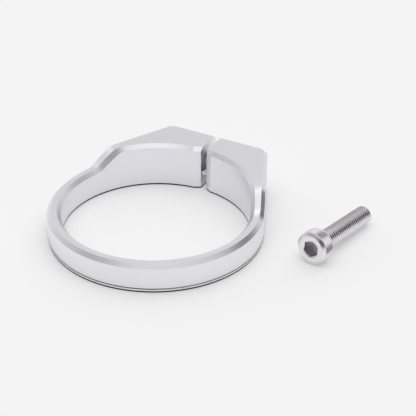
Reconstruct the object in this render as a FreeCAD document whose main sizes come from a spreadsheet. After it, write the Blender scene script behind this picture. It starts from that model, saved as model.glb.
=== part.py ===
import FreeCAD, Part
import math
import os
import Sketcher

# Steerer tube clamp: a split ring that is closed by one socket head screw through two raised lugs.
# Origin on the axis of the bore, in the plane of the bottom face. +Z up the bore, +Y out through
# the slit, +X along the screw holes from the lug that takes the head to the threaded lug.
# Millimetres. The screw lies loose beside the ring, as it is shown.

SIZES = {
    "bore_d": 50.0,
    "wall": 3.6,
    "band_height": 7.9,
    "lug_height": 12.7,
    "lug_back_y": 34.8,
    "lug_side_angle": 25.1,
    "corner_radius": 3.0,
    "ramp_foot_y": 8.8,
    "ramp_top_y": 14.8,
    "ramp_radius": 4.5,
    "edge_chamfer": 1.0,
    "step_height": 1.3,
    "step_depth": 0.28,
    "foot_edge": 0.45,
    "slit_width": 1.8,
    "flare_width": 1.5,
    "flare_depth": 0.85,
    "hole_y": 29.5,
    "hole_z": 6.5,
    "screw_d": 5.0,
    "screw_clearance": 0.5,
    "thread_pitch": 0.8,
    "seat_out": 10.0,
    "head_d": 8.5,
    "head_clearance": 0.5,
    "mouth_d": 7.2,
    "head_height": 4.2,
    "screw_length": 22.0,
    "head_edge": 0.4,
    "rim_edge": 0.2,
    "tip_edge": 0.6,
    "hex_width": 4.0,
    "hex_depth": 2.6,
    "hex_lead": 0.1,
    "screw_at_x": 42.3,
    "screw_at_y": 5.8,
    "screw_heading": 81.3,
    "screw_turn": 32.5,
}
FORMULAS = {
    "outer_r": "=bore_d / 2 + wall",
    "clearance_d": "=screw_d + screw_clearance",
    "tap_d": "=screw_d - thread_pitch",
    "counterbore_d": "=head_d + head_clearance",
    "far_reach": "=bore_d + lug_back_y",
}

doc = FreeCAD.newDocument("steerer_tube_clamp")
sheet = doc.addObject("Spreadsheet::Sheet", "Sizes")
for row, (name, value) in enumerate(SIZES.items(), start=1):
    sheet.set("A%d" % row, name)
    sheet.set("B%d" % row, str(value))
    sheet.setAlias("B%d" % row, name)
for row, (name, formula) in enumerate(FORMULAS.items(), start=len(SIZES) + 1):
    sheet.set("A%d" % row, name)
    sheet.set("B%d" % row, formula)
    sheet.setAlias("B%d" % row, name)
doc.recompute()

V = FreeCAD.Vector
UP = V(0, 0, 1)


def cell(name):
    """The number in the sheet under this name."""
    return float(sheet.get(name))


def plane_of(body, role):
    """One of the three origin planes of a body."""
    for feature in body.Origin.OriginFeatures:
        if feature.Role == role:
            return feature
    raise RuntimeError("no origin plane " + role)


def new_sketch(body, name, role):
    """A sketch flat on an origin plane of its body."""
    sketch = body.newObject("Sketcher::SketchObject", name)
    sketch.AttachmentSupport = [(plane_of(body, role), "")]
    sketch.MapMode = "FlatFace"
    return sketch


def bind(obj, path, formula):
    """Ties a size of an object to the sheet; words that are sheet names are written as #name."""
    obj.setExpression(path, formula.replace("#", "Sizes."))


def size_of(sketch, index, formula):
    """Ties one constraint of a sketch to the sheet."""
    bind(sketch, "Constraints[%d]" % index, formula)


def add_circle(sketch, centre, radius, radius_formula, x_formula=None, y_formula=None):
    """A circle whose radius, and centre if it isn't the origin, come from the sheet."""
    curve = sketch.addGeometry(Part.Circle(V(centre[0], centre[1], 0), UP, radius))
    size_of(sketch, sketch.addConstraint(Sketcher.Constraint("Radius", curve, radius)), radius_formula)
    if x_formula is None:
        sketch.addConstraint(Sketcher.Constraint("Coincident", curve, 3, -1, 1))
        return curve
    for kind, at, formula in (("DistanceX", centre[0], x_formula), ("DistanceY", centre[1], y_formula)):
        index = sketch.addConstraint(Sketcher.Constraint(kind, -1, 1, curve, 3, at))
        size_of(sketch, index, formula)
    return curve


def add_polygon(sketch, points):
    """Closed lines through points given as (x, x formula, y, y formula), each corner tied to the sheet."""
    lines = []
    for first, second in zip(points, points[1:] + points[:1]):
        start = V(first[0], first[2], 0)
        end = V(second[0], second[2], 0)
        lines.append(sketch.addGeometry(Part.LineSegment(start, end)))
    for line, following in zip(lines, lines[1:] + lines[:1]):
        sketch.addConstraint(Sketcher.Constraint("Coincident", line, 2, following, 1))
    for line, (x, x_formula, y, y_formula) in zip(lines, points):
        for kind, at, formula in (("DistanceX", x, x_formula), ("DistanceY", y, y_formula)):
            if formula is None:
                on_axis = -2 if kind == "DistanceX" else -1
                sketch.addConstraint(Sketcher.Constraint("PointOnObject", line, 1, on_axis))
                continue
            index = sketch.addConstraint(Sketcher.Constraint(kind, -1, 1, line, 1, at))
            size_of(sketch, index, formula)
    return lines


def add_outline(sketch, inset, inset_formula):
    """The outline from above: a round band that runs straight into a flat back with rounded corners."""
    radius = cell("outer_r") - inset
    corner = cell("corner_radius") - inset
    back = cell("lug_back_y") - inset
    slant = math.radians(cell("lug_side_angle"))
    side = V(math.cos(slant), math.sin(slant), 0)
    centre_y = back - corner
    centre_x = (radius - corner - centre_y * side.y) / side.x
    centre = V(centre_x, centre_y, 0)
    tangent = side * radius
    corner_side = centre + side * corner
    corner_back = centre + V(0, corner, 0)

    def mirrored(point):
        return V(-point.x, point.y, 0)

    # The arcs run anticlockwise: band from the left side round the front to the right side.
    band_arc = Part.ArcOfCircle(Part.Circle(V(0, 0, 0), UP, radius), math.pi - slant, 2 * math.pi + slant)
    right_arc = Part.ArcOfCircle(Part.Circle(centre, UP, corner), slant, math.pi / 2)
    left_arc = Part.ArcOfCircle(Part.Circle(mirrored(centre), UP, corner), math.pi / 2, math.pi - slant)
    band = sketch.addGeometry(band_arc)
    right_side = sketch.addGeometry(Part.LineSegment(tangent, corner_side))
    right = sketch.addGeometry(right_arc)
    flat = sketch.addGeometry(Part.LineSegment(corner_back, mirrored(corner_back)))
    left = sketch.addGeometry(left_arc)
    left_side = sketch.addGeometry(Part.LineSegment(mirrored(corner_side), mirrored(tangent)))
    sketch.addConstraint(Sketcher.Constraint("Coincident", band, 3, -1, 1))
    joins = ((band, right_side), (right_side, right), (right, flat), (flat, left), (left, left_side),
             (left_side, band))
    for before, after in joins:
        sketch.addConstraint(Sketcher.Constraint("Tangent", before, 2, after, 1))
    sketch.addConstraint(Sketcher.Constraint("Symmetric", flat, 1, flat, 2, -2))
    sketch.addConstraint(Sketcher.Constraint("Equal", right, left))
    size_of(sketch, sketch.addConstraint(Sketcher.Constraint("Radius", band, radius)),
            "#outer_r - " + inset_formula)
    size_of(sketch, sketch.addConstraint(Sketcher.Constraint("Radius", right, corner)),
            "#corner_radius - " + inset_formula)
    size_of(sketch, sketch.addConstraint(Sketcher.Constraint("DistanceY", -1, 1, flat, 1, back)),
            "#lug_back_y - " + inset_formula)
    lean = sketch.addConstraint(Sketcher.Constraint("Angle", right_side, math.pi / 2 + slant))
    size_of(sketch, lean, "(90 + #lug_side_angle) * 1 deg")


def pad(body, name, sketch, length_formula):
    """Adds a straight block on a sketch."""
    feature = body.newObject("PartDesign::Pad", name)
    feature.Profile = sketch
    bind(feature, "Length", length_formula)
    return feature


def pocket(body, name, sketch, length_formula, reverse=False, both_ways=False):
    """Cuts straight down from a sketch, or to both sides of it."""
    feature = body.newObject("PartDesign::Pocket", name)
    feature.Profile = sketch
    feature.Type = 0
    feature.Midplane = both_ways
    feature.Reversed = reverse
    bind(feature, "Length", length_formula)
    return feature


def edge_names(feature, wanted):
    """Names of the edges of a feature's shape for which wanted(edge) holds."""
    return ["Edge%d" % (i + 1) for i, edge in enumerate(feature.Shape.Edges) if wanted(edge)]


def dress(body, kind, name, base, edges, size_formula):
    """A fillet or a chamfer on named edges."""
    feature = body.newObject("PartDesign::" + kind, name)
    feature.Base = (base, edges)
    bind(feature, "Radius" if kind == "Fillet" else "Size", size_formula)
    return feature


# The ring.
ring = doc.addObject("PartDesign::Body", "clamp_ring")
ring.Label = "clamp_ring"

foot_outline = new_sketch(ring, "foot_outline", "XY_Plane")
add_outline(foot_outline, cell("step_depth"), "#step_depth")
pad(ring, "foot", foot_outline, "#step_height")

main_outline = new_sketch(ring, "main_outline", "XY_Plane")
bind(main_outline, "AttachmentOffset.Base.z", "#step_height")
add_outline(main_outline, 0.0, "0")
block = pad(ring, "block", main_outline, "#lug_height - #step_height")

# The front of the block is milled down to the height of the band, with a sloped rise to the lugs.
rise = new_sketch(ring, "rise_profile", "YZ_Plane")
reach = cell("far_reach")
add_polygon(rise, [
    (-reach, "-#far_reach", cell("band_height"), "#band_height"),
    (cell("ramp_foot_y"), "#ramp_foot_y", cell("band_height"), "#band_height"),
    (cell("ramp_top_y"), "#ramp_top_y", cell("lug_height"), "#lug_height"),
    (cell("ramp_top_y"), "#ramp_top_y", 2 * cell("lug_height"), "2 * #lug_height"),
    (-reach, "-#far_reach", 2 * cell("lug_height"), "2 * #lug_height"),
])
milled = pocket(ring, "milled_front", rise, "2 * #far_reach", both_ways=True)
doc.recompute()


def across(edge):
    """A straight edge of the rise, running the whole way across the block."""
    box = edge.BoundBox
    level = box.YLength < 1e-6 and box.ZLength < 1e-6
    foot = abs(box.YMin - cell("ramp_foot_y")) < 1e-4 and abs(box.ZMin - cell("band_height")) < 1e-4
    top = abs(box.YMin - cell("ramp_top_y")) < 1e-4 and abs(box.ZMin - cell("lug_height")) < 1e-4
    return level and (foot or top)


eased = dress(ring, "Fillet", "eased_rise", milled, edge_names(milled, across), "#ramp_radius")
doc.recompute()

bore_circle = new_sketch(ring, "bore_circle", "XY_Plane")
add_circle(bore_circle, (0, 0), cell("bore_d") / 2, "#bore_d / 2")
pocket(ring, "bore", bore_circle, "2 * #lug_height", reverse=True)
doc.recompute()

# Towards the bore the slit opens out: a V-shaped notch leaves a slanted face on both lugs.
flare_outline = new_sketch(ring, "flare_outline", "XY_Plane")
half = cell("slit_width") / 2
bore_r = cell("bore_d") / 2
flare_d = cell("flare_depth")
slant = flare_d / cell("flare_width")
wide = half + 2 * cell("flare_width")
wide_x = "(#slit_width / 2 + 2 * #flare_width)"
add_polygon(flare_outline, [
    (-wide, "-" + wide_x, bore_r - flare_d, "#bore_d / 2 - #flare_depth"),
    (wide, wide_x, bore_r - flare_d, "#bore_d / 2 - #flare_depth"),
    (0.0, None, bore_r + flare_d + half * slant,
     "#bore_d / 2 + #flare_depth * (1 + #slit_width / 2 / #flare_width)"),
])
flared = pocket(ring, "flare", flare_outline, "2 * #lug_height", reverse=True)
doc.recompute()


def top_edge(edge):
    """An edge round the top, outer or inner, and not one that crosses the band."""
    box = edge.BoundBox
    if box.ZMin < cell("band_height") - 1e-4:
        return False
    middle = edge.valueAt((edge.FirstParameter + edge.LastParameter) / 2)
    on_bore = abs(math.hypot(middle.x, middle.y) - cell("bore_d") / 2) < 1e-3
    crosses = box.YLength < 1e-6 and box.ZLength < 1e-6 and middle.y < cell("lug_back_y") - 1e-3
    upright = box.ZLength > 0.5 and box.XLength < 1e-6 and box.YLength < 1e-6
    return on_bore or not (crosses or upright)


broken = dress(ring, "Chamfer", "broken_top_edges", flared, edge_names(flared, top_edge),
               "#edge_chamfer")
doc.recompute()
foot_edges = edge_names(broken, lambda edge: abs(edge.BoundBox.ZMax) < 1e-6)
dress(ring, "Chamfer", "broken_foot_edges", broken, foot_edges, "#foot_edge")
doc.recompute()

slit_outline = new_sketch(ring, "slit_outline", "XY_Plane")
quarter = cell("bore_d") / 4
add_polygon(slit_outline, [
    (-half, "-#slit_width / 2", quarter, "#bore_d / 4"),
    (half, "#slit_width / 2", quarter, "#bore_d / 4"),
    (half, "#slit_width / 2", reach, "#far_reach"),
    (-half, "-#slit_width / 2", reach, "#far_reach"),
])
slit = pocket(ring, "slit", slit_outline, "2 * #lug_height", reverse=True)
doc.recompute()


def hole(name, radius_formula, radius, to_plus_x, start_formula=None):
    """A round hole along X through a lug, starting in the middle of the slit or further out."""
    circle = new_sketch(ring, name + "_circle", "YZ_Plane")
    if start_formula is not None:
        bind(circle, "AttachmentOffset.Base.z", start_formula)
    add_circle(circle, (cell("hole_y"), cell("hole_z")), radius, radius_formula, "#hole_y", "#hole_z")
    return pocket(ring, name, circle, "#far_reach", reverse=to_plus_x)


hole("clearance_hole", "#clearance_d / 2", cell("clearance_d") / 2, False)
hole("counterbore", "#counterbore_d / 2", cell("counterbore_d") / 2, False, "-#seat_out")
hole("tapped_hole", "#tap_d / 2", cell("tap_d") / 2, True)
doc.recompute()


def mouth(name, radius_formula, side):
    """Opens a screw hole towards the slit with a 45 degree cone, in the lug on one side."""
    cone = ring.newObject("PartDesign::SubtractiveCone", name)
    cone.AttachmentSupport = [(plane_of(ring, "YZ_Plane"), "")]
    cone.MapMode = "FlatFace"
    facing = 0 if side == "+" else 180
    cone.AttachmentOffset = FreeCAD.Placement(V(0, 0, 0), FreeCAD.Rotation(V(0, 1, 0), facing))
    bind(cone, "AttachmentOffset.Base.x", "#hole_y")
    bind(cone, "AttachmentOffset.Base.y", "#hole_z")
    bind(cone, "AttachmentOffset.Base.z", side + "#slit_width / 2")
    bind(cone, "Radius1", "#mouth_d / 2")
    bind(cone, "Radius2", radius_formula)
    bind(cone, "Height", "#mouth_d / 2 - " + radius_formula)
    doc.recompute()
    return cone


mouth("tapped_mouth", "#tap_d / 2", "+")
ring.Tip = mouth("clearance_mouth", "#clearance_d / 2", "-")
ring.Placement = FreeCAD.Placement(V(0, 0, 0), FreeCAD.Rotation(UP, 0))
doc.recompute()

# The screw.
screw = doc.addObject("PartDesign::Body", "clamp_bolt")
screw.Label = "clamp_bolt"

# Half section, x is the radius and y runs from the face of the head to the tip.
half_section = new_sketch(screw, "half_section", "XY_Plane")
head_r = cell("head_d") / 2
shank_r = cell("screw_d") / 2
total = cell("head_height") + cell("screw_length")
add_polygon(half_section, [
    (0.0, None, 0.0, None),
    (head_r - cell("head_edge"), "#head_d / 2 - #head_edge", 0.0, None),
    (head_r, "#head_d / 2", cell("head_edge"), "#head_edge"),
    (head_r, "#head_d / 2", cell("head_height") - cell("rim_edge"), "#head_height - #rim_edge"),
    (head_r - cell("rim_edge"), "#head_d / 2 - #rim_edge", cell("head_height"), "#head_height"),
    (shank_r, "#screw_d / 2", cell("head_height"), "#head_height"),
    (shank_r, "#screw_d / 2", total - cell("tip_edge"), "#head_height + #screw_length - #tip_edge"),
    (shank_r - cell("tip_edge"), "#screw_d / 2 - #tip_edge", total, "#head_height + #screw_length"),
    (0.0, None, total, "#head_height + #screw_length"),
])
turned = screw.newObject("PartDesign::Revolution", "turned")
turned.Profile = half_section
turned.ReferenceAxis = (half_section, ["V_Axis"])
turned.Angle = 360
doc.recompute()

hexagon = new_sketch(screw, "hexagon", "XZ_Plane")
hex_r = cell("hex_width") / math.sqrt(3)
ring_of_points = []
for corner_no in range(6):
    turn = math.radians(60 * corner_no)
    ring_of_points.append(V(hex_r * math.cos(turn), hex_r * math.sin(turn), 0))
sides = []
for first, second in zip(ring_of_points, ring_of_points[1:] + ring_of_points[:1]):
    sides.append(hexagon.addGeometry(Part.LineSegment(first, second)))
for side_line, following in zip(sides, sides[1:] + sides[:1]):
    hexagon.addConstraint(Sketcher.Constraint("Coincident", side_line, 2, following, 1))
guide = hexagon.addGeometry(Part.Circle(V(0, 0, 0), UP, hex_r), True)
hexagon.addConstraint(Sketcher.Constraint("Coincident", guide, 3, -1, 1))
for side_line in sides:
    hexagon.addConstraint(Sketcher.Constraint("PointOnObject", side_line, 1, guide))
for side_line in sides[1:]:
    hexagon.addConstraint(Sketcher.Constraint("Equal", sides[0], side_line))
hexagon.addConstraint(Sketcher.Constraint("PointOnObject", sides[0], 1, -1))
size_of(hexagon, hexagon.addConstraint(Sketcher.Constraint("Radius", guide, hex_r)), "#hex_width / sqrt(3)")
socket = pocket(screw, "hex_socket", hexagon, "#hex_depth")
doc.recompute()

# Conical lead-in at the mouth of the socket, and the drill's cone at its floor.
cones = new_sketch(screw, "cones", "XY_Plane")
lead_r = hex_r + cell("hex_lead")
lead = "(#hex_width / sqrt(3) + #hex_lead)"
add_polygon(cones, [
    (0.0, None, 0.0, None),
    (lead_r, lead, 0.0, None),
    (0.0, None, lead_r * 0.5, lead + " * 0.5"),
])
lead_in = screw.newObject("PartDesign::Groove", "lead_in")
lead_in.Profile = cones
lead_in.ReferenceAxis = (cones, ["V_Axis"])
lead_in.Angle = 360
doc.recompute()

drill = new_sketch(screw, "drill_cone", "XY_Plane")
drill_r = cell("hex_width") / 2
depth = cell("hex_depth")
add_polygon(drill, [
    (0.0, None, depth, "#hex_depth"),
    (drill_r, "#hex_width / 2", depth, "#hex_depth"),
    (0.0, None, depth + drill_r * 0.4, "#hex_depth + #hex_width * 0.2"),
])
drilled = screw.newObject("PartDesign::Groove", "drill_point")
drilled.Profile = drill
drilled.ReferenceAxis = (drill, ["V_Axis"])
drilled.Angle = 360
screw.Tip = drilled
doc.recompute()

# The loose screw rests on the rim of its head and on the end of its thread.
slope = math.atan2(head_r - shank_r, cell("screw_length") - cell("tip_edge") + cell("rim_edge"))
rise_of_face = head_r * math.cos(slope) + (cell("head_height") - cell("rim_edge")) * math.sin(slope)
heading = math.radians(cell("screw_heading"))
level = V(math.cos(heading), math.sin(heading), 0)
down_the_shank = level * math.cos(slope) - UP * math.sin(slope)
sideways = UP.cross(level)
lay = FreeCAD.Rotation(sideways, down_the_shank, V(0, 0, 0), "YXZ")
spin = FreeCAD.Rotation(V(0, 1, 0), cell("screw_turn"))
place = V(cell("screw_at_x"), cell("screw_at_y"), rise_of_face)
screw.Placement = FreeCAD.Placement(place, lay.multiply(spin))
doc.recompute()

# Check and write.
for obj in doc.Objects:
    wrong = [word for word in obj.State if word in ("Invalid", "Error")]
    if wrong:
        raise RuntimeError("%s is %s" % (obj.Name, ", ".join(wrong)))
os.makedirs("parts", exist_ok=True)
for body in (ring, screw):
    shape = body.Shape
    if shape.isNull() or not shape.isValid() or len(shape.Solids) != 1:
        raise RuntimeError(body.Label + " is not one sound solid")
    shape.exportStep(os.path.join("parts", body.Label + ".step"))
    box = shape.BoundBox
    print(body.Label, "volume %.1f" % shape.Volume, "x %.2f %.2f" % (box.XMin, box.XMax),
          "y %.2f %.2f" % (box.YMin, box.YMax), "z %.3f %.3f" % (box.ZMin, box.ZMax))
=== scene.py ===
import math

import bmesh
import bpy
from mathutils import Matrix, Vector


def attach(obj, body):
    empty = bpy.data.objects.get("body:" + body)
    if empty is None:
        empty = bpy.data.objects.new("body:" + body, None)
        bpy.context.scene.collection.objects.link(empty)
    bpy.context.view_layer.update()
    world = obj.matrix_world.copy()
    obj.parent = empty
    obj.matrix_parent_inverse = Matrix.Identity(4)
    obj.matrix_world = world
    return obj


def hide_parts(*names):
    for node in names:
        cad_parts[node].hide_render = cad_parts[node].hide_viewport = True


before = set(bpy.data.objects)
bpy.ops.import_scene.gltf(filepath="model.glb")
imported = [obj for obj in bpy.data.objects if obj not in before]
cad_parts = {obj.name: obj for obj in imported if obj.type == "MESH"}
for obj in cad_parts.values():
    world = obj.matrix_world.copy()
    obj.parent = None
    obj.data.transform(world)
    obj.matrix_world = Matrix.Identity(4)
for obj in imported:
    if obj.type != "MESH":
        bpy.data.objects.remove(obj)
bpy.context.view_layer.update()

MM = 0.001
BODY = "root"

# The ring, in millimetres.
BORE_R = 25.0
WALL = 3.6
OUTER_R = BORE_R + WALL
BAND_HEIGHT = 7.9
LUG_HEIGHT = 12.7
LUG_BACK_Y = 34.8
LUG_SIDE_ANGLE = math.radians(25.1)
CORNER_R = 3.0
RAMP_FOOT_Y = 8.8
RAMP_TOP_Y = 14.8
RAMP_R = 4.5
EDGE_CHAMFER = 1.0
FOOT_EDGE = 0.12
GROOVE_FOOT = 0.92
GROOVE_TOP = 1.22
GROOVE_DEPTH = 0.25
SLIT_HALF = 0.9
FLARE_WIDTH = 1.5
FLARE_DEPTH = 0.85
RING_BREAK = 0.10

# Steps along each stretch of the ring's outline.
BACK_STEPS = 14
CORNER_STEPS = 10
SIDE_STEPS = 44
ROUND_STEPS = 240

# The screw, in millimetres.
SCREW_R = 2.5
PITCH = 0.8
THREAD_DEPTH = 0.54 * PITCH
SCREW_LENGTH = 22.0
TIP_EDGE = 0.6
HEAD_R = 4.25
HEAD_HEIGHT = 4.2
FACE_R = HEAD_R - 0.72
FACE_EDGE = 0.46
RIM_EDGE = 0.2
HEX_R = 4.0 / math.sqrt(3)
HEX_DEPTH = 2.6
HEX_LEAD = 0.1
DRILL_R = HEX_R * 0.86
DRILL_POINT = 0.8
KNURL_START = FACE_EDGE + 0.3
KNURL_END = HEAD_HEIGHT - RIM_EDGE - 0.1
KNURL_RIDGES = 52
KNURL_DEPTH = 0.14
SCREW_BREAK = 0.05
SCREW_AT = (42.3, 5.8)
SCREW_HEADING = math.radians(81.3)
SCREW_TURN = math.radians(32.5)

# The screw holes in the lugs, in millimetres. The seat and the end count from the middle of the slit.
HOLE_Y = 29.5
HOLE_Z = 6.5
HOLE_R = SCREW_R + 0.25
SEAT_R = HEAD_R + 0.25
SEAT_OUT = 10.0
MOUTH_R = 3.6
TAPPED_R = SCREW_R + 0.03
TAPPED_MOUTH_END_R = 2.0
TAPPED_END = 24.0

# The finish of both metals: the height of the grain, in millimetres.
GRAIN_HEIGHT = 0.02

# Painted shade: how much of the metal's colour is left in its corners, against 1 on the open faces.
FOOT_PAINTED_SHADE = 0.02
GROOVE_SHADE = 0.55
ROOT_PAINTED_SHADE = 0.12
RIDGE_PAINTED_SHADE = 0.6
SOCKET_PAINTED_SHADE = 0.5
# The share of the roots' painted shade that is left on the lower side of the screw.
ROOT_PAINTED_SHADE_BELOW = 0.15
# The height up to which the foot carries painted shade, and the depth from which the socket does, in
# millimetres.
FOOT_LINE = 0.42
SOCKET_LEAD = 0.22

# The camera stands in front of the ring and above it, and the slit is at the back, on the right.
SLIT_TURN = math.radians(28.76)
CAMERA_AT = Vector((13.705, -298.57, 187.46)) * MM
CAMERA_DOWN = math.radians(31.095)
CAMERA_ROLL = math.radians(0.323)
SENSOR_WIDTH = 36
LENS = 114.55

# The light, seen from the camera: x to the right, y away from it, z up.
SIDES = 0.64
CEILING = 1.45
CEILING_EDGE = (0.83, 0.89)
BACKDROP = 0.78
BACKDROP_EDGE = (0.25, 0.65)
ROOM_TINT = (0.998, 0.99, 1.012)
# Each patch: the way to it, the cosines of its outer and inner edge, and its light against what is round it.
PATCHES = {
    "right wall": ((0.94, 0.15, 0.2), 0.88, 0.96, 0.03),
    "behind the camera": ((0.1, -0.86, 0.5), 0.84, 0.97, 0.62),
    "left wall": ((-0.80, -0.42, 0.40), 0.86, 0.95, 0.6),
    "below the camera": ((-0.33, -0.93, 0.17), 0.86, 0.95, 0.06),
    "foot of the backdrop": ((-0.06, 0.99, 0.05), 0.96, 0.985, 0.15),
    "bright panel": ((0.50, 0.60, 0.62), 0.94, 0.98, 1.5),
    "far edge of the ceiling": ((-0.43, 0.45, 0.78), 0.93, 0.98, 0.65),
}
# The lamp, in metres and watts.
LAMP_AT = (-0.03, 0.03, 0.6)
LAMP_AIM = (0.01, 0.0, 0.0)
LAMP_SIZE = 1.0
LAMP_POWER = 0.9
# The floor's own colour, and the glow that lifts it to the photograph's pale ground.
FLOOR_COLOUR = (0.705, 0.705, 0.70)
FLOOR_GLOW = 0.95
FLOOR_GLOW_STRENGTH = 0.27


def ramp_angle():
    return math.atan2(LUG_HEIGHT - BAND_HEIGHT, RAMP_TOP_Y - RAMP_FOOT_Y)


def top_height(y):
    """Height of the ring's top at this distance towards the slit: band, eased ramp, lugs."""
    slant = ramp_angle()
    ease = RAMP_R * math.tan(slant / 2)
    if y <= RAMP_FOOT_Y - ease:
        return BAND_HEIGHT
    if y >= RAMP_TOP_Y + ease:
        return LUG_HEIGHT
    if y < RAMP_FOOT_Y + ease * math.cos(slant):
        run = y - (RAMP_FOOT_Y - ease)
        return BAND_HEIGHT + RAMP_R - math.sqrt(RAMP_R**2 - run**2)
    if y > RAMP_TOP_Y - ease * math.cos(slant):
        run = RAMP_TOP_Y + ease - y
        return LUG_HEIGHT - RAMP_R + math.sqrt(RAMP_R**2 - run**2)
    return BAND_HEIGHT + (y - RAMP_FOOT_Y) * math.tan(slant)


def top_slope(y):
    """Steepness of the top at this distance, as an angle."""
    return math.atan((top_height(y + 0.01) - top_height(y - 0.01)) / 0.02)


def wall_top(y):
    """Height at which the walls end and the chamfer starts."""
    return top_height(y) - EDGE_CHAMFER / math.cos(top_slope(y))


def straight_on(bm, vert, x, y, steps):
    """Runs a chain straight on to a point in equal steps and returns its last vertex."""
    stride = (Vector((x, y, 0)) - vert.co) / steps
    for _ in range(steps):
        vert = bmesh.ops.extrude_vert_indiv(bm, verts=[vert])["verts"][0]
        vert.co += stride
    return vert


def round_on(bm, vert, centre, angle, steps):
    """Runs a chain on round a centre and returns its last vertex."""
    swept = bmesh.ops.spin(bm, geom=[vert], cent=centre, axis=(0, 0, 1), angle=angle, steps=steps)
    return [item for item in swept["geom_last"] if isinstance(item, bmesh.types.BMVert)][0]


def outline(bm, inset):
    """The ring's outline from above, from the slit's right wall clockwise round to its left wall."""
    before = set(bm.verts)
    radius = OUTER_R - inset
    corner = CORNER_R - inset
    back = LUG_BACK_Y - inset
    side = Vector((math.cos(LUG_SIDE_ANGLE), math.sin(LUG_SIDE_ANGLE), 0))
    centre_y = back - corner
    centre_x = (radius - corner - centre_y * side.y) / side.x
    right = Vector((centre_x, centre_y, 0))
    left = Vector((-centre_x, centre_y, 0))
    quarter = math.pi / 2 - LUG_SIDE_ANGLE
    vert = bm.verts.new((SLIT_HALF, back, 0))
    vert = straight_on(bm, vert, centre_x, back, BACK_STEPS)
    vert = round_on(bm, vert, right, -quarter, CORNER_STEPS)
    tangent = side * radius
    vert = straight_on(bm, vert, tangent.x, tangent.y, SIDE_STEPS)
    vert = round_on(bm, vert, (0, 0, 0), -(math.pi + 2 * LUG_SIDE_ANGLE), ROUND_STEPS)
    mirrored = left + Vector((-side.x, side.y, 0)) * corner
    vert = straight_on(bm, vert, mirrored.x, mirrored.y, SIDE_STEPS)
    vert = round_on(bm, vert, left, -quarter, CORNER_STEPS)
    straight_on(bm, vert, -SLIT_HALF, back, BACK_STEPS)
    return [v for v in bm.verts if v not in before]


def bore_line(bm, inset):
    """The same chain drawn in to the bore, or an inset outside it, with the slanted faces at the slit."""
    radius = BORE_R + inset
    slant = math.atan2(FLARE_DEPTH, FLARE_WIDTH)
    steep = math.tan(slant)
    # Distance from the bore's centre at which a slanted face, moved out by the inset, meets x = 0.
    apex = BORE_R + FLARE_DEPTH + SLIT_HALF * steep + inset / math.cos(slant)
    chain = outline(bm, 0)
    for vert in chain:
        way = Vector((vert.co.x, vert.co.y)).normalized()
        near_slit = way.y > 0.9
        flat = way * (max(radius, apex / (way.y + abs(way.x) * steep)) if near_slit else radius)
        if flat.y > 0 and abs(flat.x) < SLIT_HALF + 0.02:
            flat = Vector((math.copysign(SLIT_HALF, flat.x), apex - SLIT_HALF * steep))
        vert.co.xy = flat
    # One vertex on each side goes exactly where the slanted face meets the bore.
    root = math.sqrt((apex * steep) ** 2 - (1 + steep**2) * (apex**2 - radius**2))
    kink_x = (apex * steep - root) / (1 + steep**2)
    for side in (-1, 1):
        kink = Vector((side * kink_x, apex - kink_x * steep))
        nearest = min(chain, key=lambda vert: (vert.co.xy - kink).length)
        nearest.co.xy = kink
    return chain


def at_height(chain, height):
    """Lifts a chain to a height that may change with the distance towards the slit."""
    for vert in chain:
        vert.co.z = height(vert.co.y)
    return chain


def chain_edges(chain):
    """The edges between the vertices of a chain, in the chain's order."""
    members = set(chain)
    found = {}
    for vert in chain:
        found.update((edge, None) for edge in vert.link_edges if edge.other_vert(vert) in members)
    return list(found)


def ring_shell():
    """The whole ring but for its screw holes: chains along its edges, bridged one to the next."""
    bm = bmesh.new()
    chains = [
        at_height(bore_line(bm, FOOT_EDGE), lambda y: 0.0),
        at_height(outline(bm, FOOT_EDGE), lambda y: 0.0),
        at_height(outline(bm, 0), lambda y: FOOT_EDGE),
        at_height(outline(bm, 0), lambda y: GROOVE_FOOT),
        at_height(outline(bm, GROOVE_DEPTH), lambda y: GROOVE_FOOT),
        at_height(outline(bm, GROOVE_DEPTH), lambda y: GROOVE_TOP),
        at_height(outline(bm, 0), lambda y: GROOVE_TOP),
        at_height(outline(bm, 0), wall_top),
        at_height(outline(bm, EDGE_CHAMFER), top_height),
        at_height(bore_line(bm, EDGE_CHAMFER), top_height),
        at_height(bore_line(bm, 0), wall_top),
        at_height(bore_line(bm, 0), lambda y: FOOT_EDGE),
    ]
    loops = [chain_edges(chain) for chain in chains]
    for first, second in zip(loops, loops[1:] + loops[:1]):
        bmesh.ops.bridge_loops(bm, edges=first + second)
    ends = [edge for edge in bm.edges if edge.is_boundary]
    bmesh.ops.holes_fill(bm, edges=ends, sides=0)
    bmesh.ops.recalc_face_normals(bm, faces=bm.faces)
    return bm


def turned(points, steps):
    """A turned solid about +Y. Each point is (distance along the axis, radius)."""
    bm = bmesh.new()
    verts = [bm.verts.new((radius, along, 0)) for along, radius in points]
    edges = [bm.edges.new(pair) for pair in zip(verts, verts[1:])]
    bmesh.ops.spin(bm, geom=verts + edges, cent=(0, 0, 0), axis=(0, 1, 0), angle=2 * math.pi,
                   steps=steps, use_merge=True)
    bmesh.ops.remove_doubles(bm, verts=bm.verts, dist=1e-5)
    bmesh.ops.recalc_face_normals(bm, faces=bm.faces)
    return bm


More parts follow.
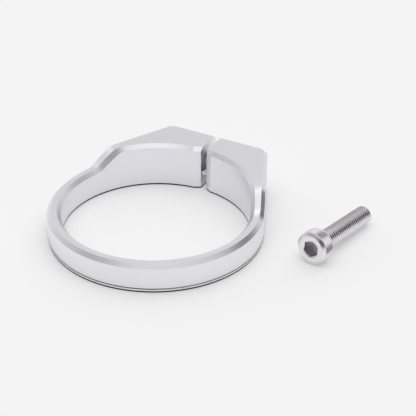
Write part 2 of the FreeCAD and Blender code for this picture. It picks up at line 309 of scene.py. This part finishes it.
def threaded_rod(radius, start, end, tip_edge):
    """A rod about +Y with a real helical thread, cut square at both ends and bevelled at the far one."""
    steps = 40
    turns = math.ceil((end - start) / PITCH) + 2
    root = radius - THREAD_DEPTH
    bm = bmesh.new()
    profile = ((-1 / 8, root), (1 / 8, root), (3 / 8, radius), (5 / 8, radius), (7 / 8, root))
    verts = [bm.verts.new((r, start - PITCH + at * PITCH, 0)) for at, r in profile]
    edges = [bm.edges.new(pair) for pair in zip(verts, verts[1:])]
    bmesh.ops.spin(bm, geom=verts + edges, cent=(0, 0, 0), axis=(0, 1, 0), angle=2 * math.pi * turns,
                   steps=steps * turns, dvec=(0, PITCH / steps, 0))
    bmesh.ops.remove_doubles(bm, verts=bm.verts, dist=1e-4)
    for at, facing in ((start, -1), (end, 1)):
        bmesh.ops.bisect_plane(bm, geom=bm.verts[:] + bm.edges[:] + bm.faces[:], dist=1e-5,
                               plane_co=(0, at, 0), plane_no=(0, facing, 0), clear_outer=True)
    for vert in bm.verts:
        allowed = radius + end - tip_edge - vert.co.y
        reach = math.hypot(vert.co.x, vert.co.z)
        if reach > allowed:
            vert.co.x *= allowed / reach
            vert.co.z *= allowed / reach
    bmesh.ops.holes_fill(bm, edges=[edge for edge in bm.edges if edge.is_boundary], sides=0)
    bmesh.ops.recalc_face_normals(bm, faces=bm.faces)
    return bm


def knurled_head():
    """The head of the screw about +Y, its side knurled with straight ridges."""
    bm = turned((
        (0, 0), (0, FACE_R), (FACE_EDGE, HEAD_R), (KNURL_START - 0.05, HEAD_R),
        (KNURL_START, HEAD_R), (KNURL_END, HEAD_R), (HEAD_HEIGHT - RIM_EDGE, HEAD_R),
        (HEAD_HEIGHT, HEAD_R - RIM_EDGE), (HEAD_HEIGHT, 0)), KNURL_RIDGES * 4)
    for vert in bm.verts:
        reach = math.hypot(vert.co.x, vert.co.z)
        if KNURL_START - 0.02 < vert.co.y < KNURL_END + 0.02:
            place = math.atan2(vert.co.z, vert.co.x) / (2 * math.pi) * KNURL_RIDGES % 1
            sunk = KNURL_DEPTH * abs(place - 0.5) * 2
            vert.co.x *= (reach - sunk) / reach
            vert.co.z *= (reach - sunk) / reach
    return bm


def hex_cutter():
    """The hexagonal prism of the socket, standing a little proud of the face of the head."""
    proud = 1.0
    bm = bmesh.new()
    bmesh.ops.create_cone(bm, cap_ends=True, segments=6, radius1=HEX_R, radius2=HEX_R,
                          depth=HEX_DEPTH + proud)
    bmesh.ops.rotate(bm, verts=bm.verts, matrix=Matrix.Rotation(math.pi / 2, 3, "Z"))
    bmesh.ops.rotate(bm, verts=bm.verts, matrix=Matrix.Rotation(-math.pi / 2, 3, "X"))
    bmesh.ops.translate(bm, verts=bm.verts, vec=(0, (HEX_DEPTH - proud) / 2, 0))
    return bm


def as_object(bm, name):
    """Makes an object in metres from a shape in millimetres and frees the shape."""
    bmesh.ops.scale(bm, verts=bm.verts, vec=(MM, MM, MM))
    mesh = bpy.data.meshes.new(name)
    bm.to_mesh(mesh)
    bm.free()
    obj = bpy.data.objects.new(name, mesh)
    bpy.context.collection.objects.link(obj)
    return obj


def combine(obj, cuts=(), joins=()):
    """Bakes the other objects out of, or into, obj and removes them."""
    for other, operation in [(o, "DIFFERENCE") for o in cuts] + [(o, "UNION") for o in joins]:
        step = obj.modifiers.new(operation.lower(), "BOOLEAN")
        step.operation = operation
        step.solver = "EXACT"
        step.object = other
    baked = bpy.data.meshes.new_from_object(obj.evaluated_get(bpy.context.evaluated_depsgraph_get()))
    obj.modifiers.clear()
    obj.data = baked
    for other in list(cuts) + list(joins):
        bpy.data.objects.remove(other)


def soften(obj, width):
    """Breaks the sharp edges slightly and shades the rest smooth."""
    edges = obj.modifiers.new("edges", "BEVEL")
    edges.limit_method = "ANGLE"
    edges.angle_limit = math.radians(28)
    edges.width = width * MM
    edges.segments = 2
    edges.harden_normals = True
    obj.data.shade_smooth()


def along_x(bm, facing):
    """Turns a shape about +Y to lie along the screw holes, towards +X or -X."""
    bmesh.ops.rotate(bm, verts=bm.verts, matrix=Matrix.Rotation(-facing * math.pi / 2, 3, "Z"))
    bmesh.ops.translate(bm, verts=bm.verts, vec=(0, HOLE_Y, HOLE_Z))
    return bm


def screw_lie():
    """Where the loose screw lies: on the rim of its head and the end of its thread."""
    slope = math.atan2(HEAD_R - SCREW_R, SCREW_LENGTH - TIP_EDGE + RIM_EDGE)
    height = HEAD_R * math.cos(slope) + (HEAD_HEIGHT - RIM_EDGE) * math.sin(slope)
    place = Matrix.Translation(Vector((*SCREW_AT, height)))
    heading = Matrix.Rotation(SCREW_HEADING - math.pi / 2, 4, "Z")
    dip = Matrix.Rotation(-slope, 4, "X")
    spin = Matrix.Rotation(SCREW_TURN, 4, "Y")
    return place @ heading @ dip @ spin


def make_ring():
    ring = as_object(ring_shell(), "clamp_ring_machined")
    far = 2 * LUG_BACK_Y
    shank = turned((
        (0, 0), (0, MOUTH_R), (SLIT_HALF, MOUTH_R), (SLIT_HALF + MOUTH_R - HOLE_R, HOLE_R),
        (SEAT_OUT, HOLE_R), (SEAT_OUT, SEAT_R), (far, SEAT_R), (far, 0)), 64)
    mouth_end = SLIT_HALF + MOUTH_R - TAPPED_MOUTH_END_R
    mouth = turned((
        (0, 0), (0, MOUTH_R), (SLIT_HALF, MOUTH_R), (mouth_end, TAPPED_MOUTH_END_R), (mouth_end, 0)), 64)
    tapped = threaded_rod(TAPPED_R, SLIT_HALF, TAPPED_END, 0.0)
    combine(ring, cuts=[as_object(along_x(shank, -1), "shank_cut"), as_object(along_x(mouth, 1), "mouth_cut"),
                        as_object(along_x(tapped, 1), "tapped_cut")])
    soften(ring, RING_BREAK)
    return ring


def make_screw():
    screw = as_object(knurled_head(), "clamp_bolt_threaded")
    lead_r = HEX_R + HEX_LEAD
    lead_in = turned(((-1, 0), (-1, lead_r + 2), (0, lead_r), (lead_r / 2, 0)), 96)
    drill = turned(((HEX_DEPTH - 1, 0), (HEX_DEPTH - 1, DRILL_R), (HEX_DEPTH, DRILL_R),
                    (HEX_DEPTH + DRILL_POINT, 0)), 48)
    rod = threaded_rod(SCREW_R, HEAD_HEIGHT - 0.4, HEAD_HEIGHT + SCREW_LENGTH, TIP_EDGE)
    combine(screw, joins=[as_object(rod, "rod")])
    combine(screw, cuts=[as_object(hex_cutter(), "hex_cut"), as_object(lead_in, "lead_cut"),
                         as_object(drill, "drill_cut")])
    bm = bmesh.new()
    bm.from_mesh(screw.data)
    place = screw_lie()
    place.translation *= MM
    bmesh.ops.transform(bm, verts=bm.verts, matrix=place)
    bm.to_mesh(screw.data)
    bm.free()
    soften(screw, SCREW_BREAK)
    return screw


def calc(tree, operation, first, second):
    """A math node; each side is a socket or a number."""
    node = tree.nodes.new("ShaderNodeMath")
    node.operation = operation
    for value, entry in zip((first, second), node.inputs):
        if isinstance(value, (int, float)):
            entry.default_value = value
        else:
            tree.links.new(value, entry)
    return node.outputs["Value"]


def fade(tree, value, start, end, low, high):
    """A soft change from one level to another while a value rises from start to end."""
    node = tree.nodes.new("ShaderNodeMapRange")
    node.interpolation_type = "SMOOTHSTEP"
    for name, number in zip(("From Min", "From Max", "To Min", "To Max"), (start, end, low, high)):
        node.inputs[name].default_value = number
    tree.links.new(value, node.inputs["Value"])
    return node.outputs["Result"]


def where(tree, *tests):
    """1 where every test holds, else 0. A test is an operation, a value and its limit."""
    found = None
    for operation, value, limit in tests:
        test = calc(tree, operation, value, limit)
        found = test if found is None else calc(tree, "MULTIPLY", found, test)
    return found


def shaded(tree, there, amount):
    """1 away from a place and the amount inside it."""
    return calc(tree, "SUBTRACT", 1.0, calc(tree, "MULTIPLY", there, calc(tree, "SUBTRACT", 1.0, amount)))


def distance(tree, first, second):
    """The distance from an axis, from the two sides of a right angle."""
    return calc(tree, "SQRT", calc(tree, "ADD", calc(tree, "POWER", first, 2.0),
                                   calc(tree, "POWER", second, 2.0)), 0.0)


def measured_along(tree, point, way):
    """How far a point lies along a way."""
    node = tree.nodes.new("ShaderNodeVectorMath")
    node.operation = "DOT_PRODUCT"
    tree.links.new(point, node.inputs[0])
    node.inputs[1].default_value = way
    return node.outputs["Value"]


def metal(name, grain_size, colours, roughness, bump_strength):
    """A metal with fine grain: a little change of colour and roughness, and a fine bump."""
    material = bpy.data.materials.new(name)
    material.use_nodes = True
    tree = material.node_tree
    nodes, links = tree.nodes, tree.links
    shader = nodes["Principled BSDF"]
    shader.inputs["Metallic"].default_value = 1.0
    place = nodes.new("ShaderNodeTexCoord")
    noise = nodes.new("ShaderNodeTexNoise")
    noise.inputs["Scale"].default_value = grain_size
    noise.inputs["Detail"].default_value = 4
    links.new(place.outputs["Object"], noise.inputs["Vector"])
    tint = nodes.new("ShaderNodeValToRGB")
    for stop, position, colour in zip(tint.color_ramp.elements, (0.35, 0.65), colours):
        stop.position = position
        stop.color = (*colour, 1)
    links.new(noise.outputs["Fac"], tint.inputs["Fac"])
    links.new(fade(tree, noise.outputs["Fac"], 0, 1, *roughness), shader.inputs["Roughness"])
    bump = nodes.new("ShaderNodeBump")
    bump.inputs["Strength"].default_value = bump_strength
    bump.inputs["Distance"].default_value = GRAIN_HEIGHT * MM
    links.new(noise.outputs["Fac"], bump.inputs["Height"])
    links.new(bump.outputs["Normal"], shader.inputs["Normal"])
    return material, place, tint


def paint_shade(material, tint, amount):
    """Multiplies the colour of a metal by an amount before it reaches the shader, which paints shade into the
    colour.
    """
    tree = material.node_tree
    shade = tree.nodes.new("ShaderNodeVectorMath")
    shade.operation = "SCALE"
    tree.links.new(tint.outputs["Color"], shade.inputs[0])
    tree.links.new(amount, shade.inputs["Scale"])
    tree.links.new(shade.outputs["Vector"], tree.nodes["Principled BSDF"].inputs["Base Color"])


def satin_aluminium():
    """Bead blasted and silver anodised, with painted shade: nearly black along the foot and darker in the
    groove above it.
    """
    material, place, tint = metal("satin_silver_aluminium", grain_size=5200,
                                  colours=((0.835, 0.83, 0.86), (0.865, 0.86, 0.89)),
                                  roughness=(0.28, 0.36), bump_strength=0.2)
    tree = material.node_tree
    split = tree.nodes.new("ShaderNodeSeparateXYZ")
    tree.links.new(place.outputs["Object"], split.inputs["Vector"])
    height = split.outputs["Z"]
    # Painted contact shadow: the colour is nearly black up to a little above the foot line, on every face.
    foot = fade(tree, height, FOOT_LINE * MM, 1.2 * FOOT_LINE * MM, FOOT_PAINTED_SHADE, 1.0)
    # Painted shade in the groove on the outer wall.
    groove = where(tree, ("GREATER_THAN", height, (GROOVE_FOOT - 0.01) * MM),
                   ("LESS_THAN", height, (GROOVE_TOP + 0.01) * MM),
                   ("GREATER_THAN", distance(tree, split.outputs["X"], split.outputs["Y"]),
                    (BORE_R + WALL / 2) * MM))
    paint_shade(material, tint, calc(tree, "MULTIPLY", foot, shaded(tree, groove, GROOVE_SHADE)))
    return material


def bright_steel():
    """Rolled and tumbled steel, with painted shade in the roots of the thread, between the ridges and in the
    socket.
    """
    material, place, tint = metal("bright_screw_steel", grain_size=3600,
                                  colours=((0.82, 0.81, 0.83), (0.88, 0.87, 0.89)),
                                  roughness=(0.28, 0.33), bump_strength=0.15)
    tree = material.node_tree
    lie = screw_lie()
    along_screw = tree.nodes.new("ShaderNodeMapping")
    along_screw.vector_type = "TEXTURE"
    along_screw.inputs["Location"].default_value = lie.translation * MM
    along_screw.inputs["Rotation"].default_value = lie.to_euler()
    along_screw.inputs["Scale"].default_value = (MM, MM, MM)
    tree.links.new(place.outputs["Object"], along_screw.inputs["Vector"])
    split = tree.nodes.new("ShaderNodeSeparateXYZ")
    tree.links.new(along_screw.outputs["Vector"], split.inputs["Vector"])
    depth = split.outputs["Y"]
    reach = distance(tree, split.outputs["X"], split.outputs["Z"])
    # Painted shade on the walls of the socket, below its lead-in.
    socket = where(tree, ("LESS_THAN", reach, HEX_R + 0.03), ("GREATER_THAN", depth, SOCKET_LEAD),
                   ("LESS_THAN", depth, HEX_DEPTH - 0.02))
    # Painted shade between the ridges of the knurl.
    ridges = where(tree, ("GREATER_THAN", reach, HEAD_R - 1.5 * KNURL_DEPTH),
                   ("GREATER_THAN", depth, KNURL_START - 0.04), ("LESS_THAN", depth, HEAD_HEIGHT - RIM_EDGE))
    # Painted shade in the roots of the thread.
    thread = where(tree, ("GREATER_THAN", depth, HEAD_HEIGHT + 0.05), ("LESS_THAN", reach, SCREW_R + 0.1))
    between = fade(tree, reach, HEAD_R - KNURL_DEPTH, HEAD_R - 0.5 * KNURL_DEPTH, RIDGE_PAINTED_SHADE, 1.0)
    root = fade(tree, reach, SCREW_R - 0.8 * THREAD_DEPTH, SCREW_R - 0.3 * THREAD_DEPTH, ROOT_PAINTED_SHADE, 1.0)
    # The painted shade in the roots fades where they look down to the pale floor, so those roots are nearly
    # as light as the crests.
    up = (-math.sin(SCREW_TURN), 0, math.cos(SCREW_TURN))
    upward = measured_along(tree, along_screw.outputs["Vector"], up)
    thread = calc(tree, "MULTIPLY", thread, fade(tree, upward, 0.3, 1.0, ROOT_PAINTED_SHADE_BELOW, 1.0))
    level = calc(tree, "MULTIPLY", shaded(tree, socket, SOCKET_PAINTED_SHADE), shaded(tree, ridges, between))
    paint_shade(material, tint, calc(tree, "MULTIPLY", level, shaded(tree, thread, root)))
    return material


def make_floor():
    bm = bmesh.new()
    bmesh.ops.create_grid(bm, x_segments=1, y_segments=1, size=3000)
    floor = as_object(bm, "studio_floor")
    material = bpy.data.materials.new("white_sweep")
    material.use_nodes = True
    shader = material.node_tree.nodes["Principled BSDF"]
    shader.inputs["Base Color"].default_value = (*FLOOR_COLOUR, 1)
    shader.inputs["Emission Color"].default_value = (FLOOR_GLOW, FLOOR_GLOW, FLOOR_GLOW, 1)
    shader.inputs["Emission Strength"].default_value = FLOOR_GLOW_STRENGTH
    shader.inputs["Roughness"].default_value = 0.9
    shader.inputs["Specular IOR Level"].default_value = 0.0
    floor.data.materials.append(material)


def light_room():
    """A grey room: bright ceiling, paler backdrop, patches that the metal mirrors, and a soft lamp."""
    world = bpy.data.worlds.new("studio")
    bpy.context.scene.world = world
    world.use_nodes = True
    tree = world.node_tree
    nodes, links = tree.nodes, tree.links
    place = nodes.new("ShaderNodeTexCoord")
    turn = nodes.new("ShaderNodeMapping")
    turn.inputs["Rotation"].default_value = (0, 0, -SLIT_TURN)
    links.new(place.outputs["Generated"], turn.inputs["Vector"])
    split = nodes.new("ShaderNodeSeparateXYZ")
    links.new(turn.outputs["Vector"], split.inputs["Vector"])

    ceiling = fade(tree, split.outputs["Z"], *CEILING_EDGE, SIDES, CEILING)
    backdrop = fade(tree, split.outputs["Y"], *BACKDROP_EDGE, SIDES, BACKDROP)
    level = calc(tree, "MAXIMUM", ceiling, backdrop)
    for name, (towards, start, end, left) in PATCHES.items():
        near = measured_along(tree, turn.outputs["Vector"], Vector(towards).normalized())
        near.node.label = name
        level = calc(tree, "MULTIPLY", level, fade(tree, near, start, end, 1.0, left))
    tint = nodes.new("ShaderNodeVectorMath")
    tint.operation = "SCALE"
    tint.inputs[0].default_value = ROOM_TINT
    links.new(level, tint.inputs["Scale"])
    links.new(tint.outputs["Vector"], nodes["Background"].inputs["Color"])

    lamp = bpy.data.lights.new("softbox", "AREA")
    lamp.shape = "RECTANGLE"
    lamp.size = LAMP_SIZE
    lamp.size_y = LAMP_SIZE
    lamp.energy = LAMP_POWER
    softbox = bpy.data.objects.new("softbox", lamp)
    softbox.location = Matrix.Rotation(SLIT_TURN, 3, "Z") @ Vector(LAMP_AT)
    aim = Vector(LAMP_AIM) - softbox.location
    softbox.rotation_euler = aim.to_track_quat("-Z", "Y").to_euler()
    softbox.visible_glossy = False
    bpy.context.collection.objects.link(softbox)


def make_camera():
    data = bpy.data.cameras.new("camera")
    data.sensor_width = SENSOR_WIDTH
    data.lens = LENS
    camera = bpy.data.objects.new("camera", data)
    turn = Matrix.Rotation(SLIT_TURN, 4, "Z")
    tilt = Matrix.Rotation(math.pi / 2 - CAMERA_DOWN, 4, "X")
    roll = Matrix.Rotation(CAMERA_ROLL, 4, "Z")
    camera.matrix_world = turn @ Matrix.Translation(CAMERA_AT) @ tilt @ roll
    bpy.context.collection.objects.link(camera)
    bpy.context.scene.camera = camera


ring = make_ring()
ring.data.materials.append(satin_aluminium())
screw = make_screw()
screw.data.materials.append(bright_steel())
for piece, node, slot in ((ring, "clamp_ring", "ring_aluminium"), (screw, "clamp_bolt", "bolt_steel")):
    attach(piece, BODY)
    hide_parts(node)

make_floor()
light_room()
make_camera()
bpy.context.scene.view_settings.view_transform = "Standard"
